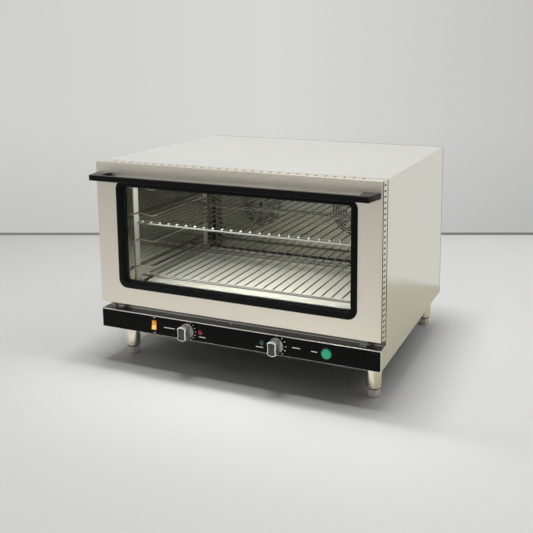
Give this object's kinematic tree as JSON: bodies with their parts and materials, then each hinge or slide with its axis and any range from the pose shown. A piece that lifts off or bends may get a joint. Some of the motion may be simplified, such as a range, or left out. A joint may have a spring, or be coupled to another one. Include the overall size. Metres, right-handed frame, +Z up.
{
  "type": "countertop convection oven",
  "caption": "Countertop electric convection oven with a bottom-hinged glass door, wire racks, a black control panel with knobs, and adjustable legs.",
  "frame": {"origin": "middle of the object's footprint box, on the surface that the feet stand on", "axes": "+X to the oven's right seen from the front, +Y to its back, +Z up; the door faces -Y"},
  "size_m": [0.812, 0.714, 0.568],
  "materials": {
    "brushed_steel": "fine brushed, warm",
    "galvanised_steel": "dull mill finish",
    "polished_steel": "polished",
    "chrome_wire": "bright plated",
    "mineral_wool": "fibrous",
    "seal_rubber": "matte",
    "black_rubber": "satin",
    "clear_glass": "clear",
    "black_plastic": "satin",
    "handle_screw_steel": "satin",
    "panel_black": "gloss",
    "knob_silver": "satin silver with bright rims",
    "amber_plastic": "translucent gloss",
    "green_plastic": "gloss",
    "green_lens": "gloss",
    "red_lens": "gloss",
    "leg_steel": "satin, warm nickel",
    "element_sheath": "matte, heat darkened",
    "valve_brass": "satin"
  },
  "bodies": {
    "oven": {"outer_wrap": "brushed_steel", "control_housing": "brushed_steel", "front_frame": "brushed_steel", "hinge_brackets": "brushed_steel", "casing_screws": "brushed_steel", "hinge_pins": "brushed_steel", "rear_panel": "galvanised_steel", "base_pan": "galvanised_steel", "cavity_supports": "galvanised_steel", "fan_motors": "galvanised_steel", "cavity_liner": "polished_steel", "floor_plate": "polished_steel", "fan_baffle": "polished_steel", "rack_guide_left": "polished_steel", "rack_guide_right": "polished_steel", "baffle_standoffs": "polished_steel", "exhaust_vent": "polished_steel", "steam_pipe": "polished_steel", "thermostat_bulb": "polished_steel", "insulation_blanket": "mineral_wool", "door_seal": "seal_rubber", "power_switch": "black_plastic", "timer": "black_plastic", "thermostat": "black_plastic", "steam_switch": "black_plastic", "terminal_block": "black_plastic", "cable_gland": "black_plastic", "control_overlay": "panel_black", "heating_lamp": "green_lens", "power_lamp": "red_lens", "legs": "leg_steel", "heating_elements": "element_sheath", "water_valve": "valve_brass"},
    "door": {"door_outer_frame": "brushed_steel", "door_inner_frame": "galvanised_steel", "window_gasket": "black_rubber", "door_outer_glass": "clear_glass", "door_inner_glass": "clear_glass", "glass_spacer": "galvanised_steel", "handle_bar": "black_plastic", "handle_foot_left": "black_plastic", "handle_foot_right": "black_plastic", "handle_screws": "handle_screw_steel", "hinge_leaves": "brushed_steel"},
    "upper_rack": {"upper_rack": "chrome_wire"},
    "lower_rack": {"lower_rack": "chrome_wire"},
    "power_rocker": {"power_rocker": "amber_plastic"},
    "timer_knob": {"timer_knob": "knob_silver", "timer_spindle": "handle_screw_steel"},
    "temperature_knob": {"temperature_knob": "knob_silver", "thermostat_spindle": "handle_screw_steel"},
    "steam_button": {"steam_button": "green_plastic"},
    "fan_left": {"fan_left": "polished_steel", "fan_shaft_left": "polished_steel"},
    "fan_right": {"fan_right": "polished_steel", "fan_shaft_right": "polished_steel"},
    "foot_front_left": {"foot_front_left": "leg_steel"},
    "foot_front_right": {"foot_front_right": "leg_steel"},
    "foot_rear_left": {"foot_rear_left": "leg_steel"},
    "foot_rear_right": {"foot_rear_right": "leg_steel"}
  },
  "joints": [
    {"name": "door_hinge", "type": "hinge", "parent": "oven", "child": "door", "pos_m": [0, -0.294, 0.164], "axis": [1, 0, 0], "range_deg": [0, 90]},
    {"name": "upper_rack_slide", "type": "slide", "parent": "oven", "child": "upper_rack", "axis": [0, -1, 0], "range_m": [-0.012, 0.025]},
    {"name": "lower_rack_slide", "type": "slide", "parent": "oven", "child": "lower_rack", "axis": [0, -1, 0], "range_m": [0, 0.04]},
    {"name": "power_rocker_tilt", "type": "hinge", "parent": "oven", "child": "power_rocker", "pos_m": [-0.2343, -0.3, 0.1277], "axis": [1, 0, 0], "range_deg": [0, 16]},
    {"name": "timer_knob_turn", "type": "hinge", "parent": "oven", "child": "timer_knob", "pos_m": [-0.1305, -0.31, 0.1277], "axis": [0, 1, 0], "range_deg": [0, 300]},
    {"name": "temperature_knob_turn", "type": "hinge", "parent": "oven", "child": "temperature_knob", "pos_m": [0.1305, -0.31, 0.1277], "axis": [0, 1, 0], "range_deg": [0, 300]},
    {"name": "steam_button_press", "type": "slide", "parent": "oven", "child": "steam_button", "axis": [0, 1, 0], "range_m": [0, 0.003], "stiffness_N_per_m": 600, "springref_m": -0.001},
    {"name": "fan_left_spin", "type": "hinge", "parent": "oven", "child": "fan_left", "pos_m": [-0.16, 0.23, 0.366], "axis": [0, 1, 0], "continuous": true},
    {"name": "fan_right_spin", "type": "hinge", "parent": "oven", "child": "fan_right", "pos_m": [0.16, 0.23, 0.366], "axis": [0, 1, 0], "continuous": true},
    {"name": "foot_front_left_adjust", "type": "slide", "parent": "oven", "child": "foot_front_left", "axis": [0, 0, -1], "range_m": [0, 0.02]},
    {"name": "foot_front_right_adjust", "type": "slide", "parent": "oven", "child": "foot_front_right", "axis": [0, 0, -1], "range_m": [0, 0.02]},
    {"name": "foot_rear_left_adjust", "type": "slide", "parent": "oven", "child": "foot_rear_left", "axis": [0, 0, -1], "range_m": [0, 0.02]},
    {"name": "foot_rear_right_adjust", "type": "slide", "parent": "oven", "child": "foot_rear_right", "axis": [0, 0, -1], "range_m": [0, 0.02]}
  ]
}
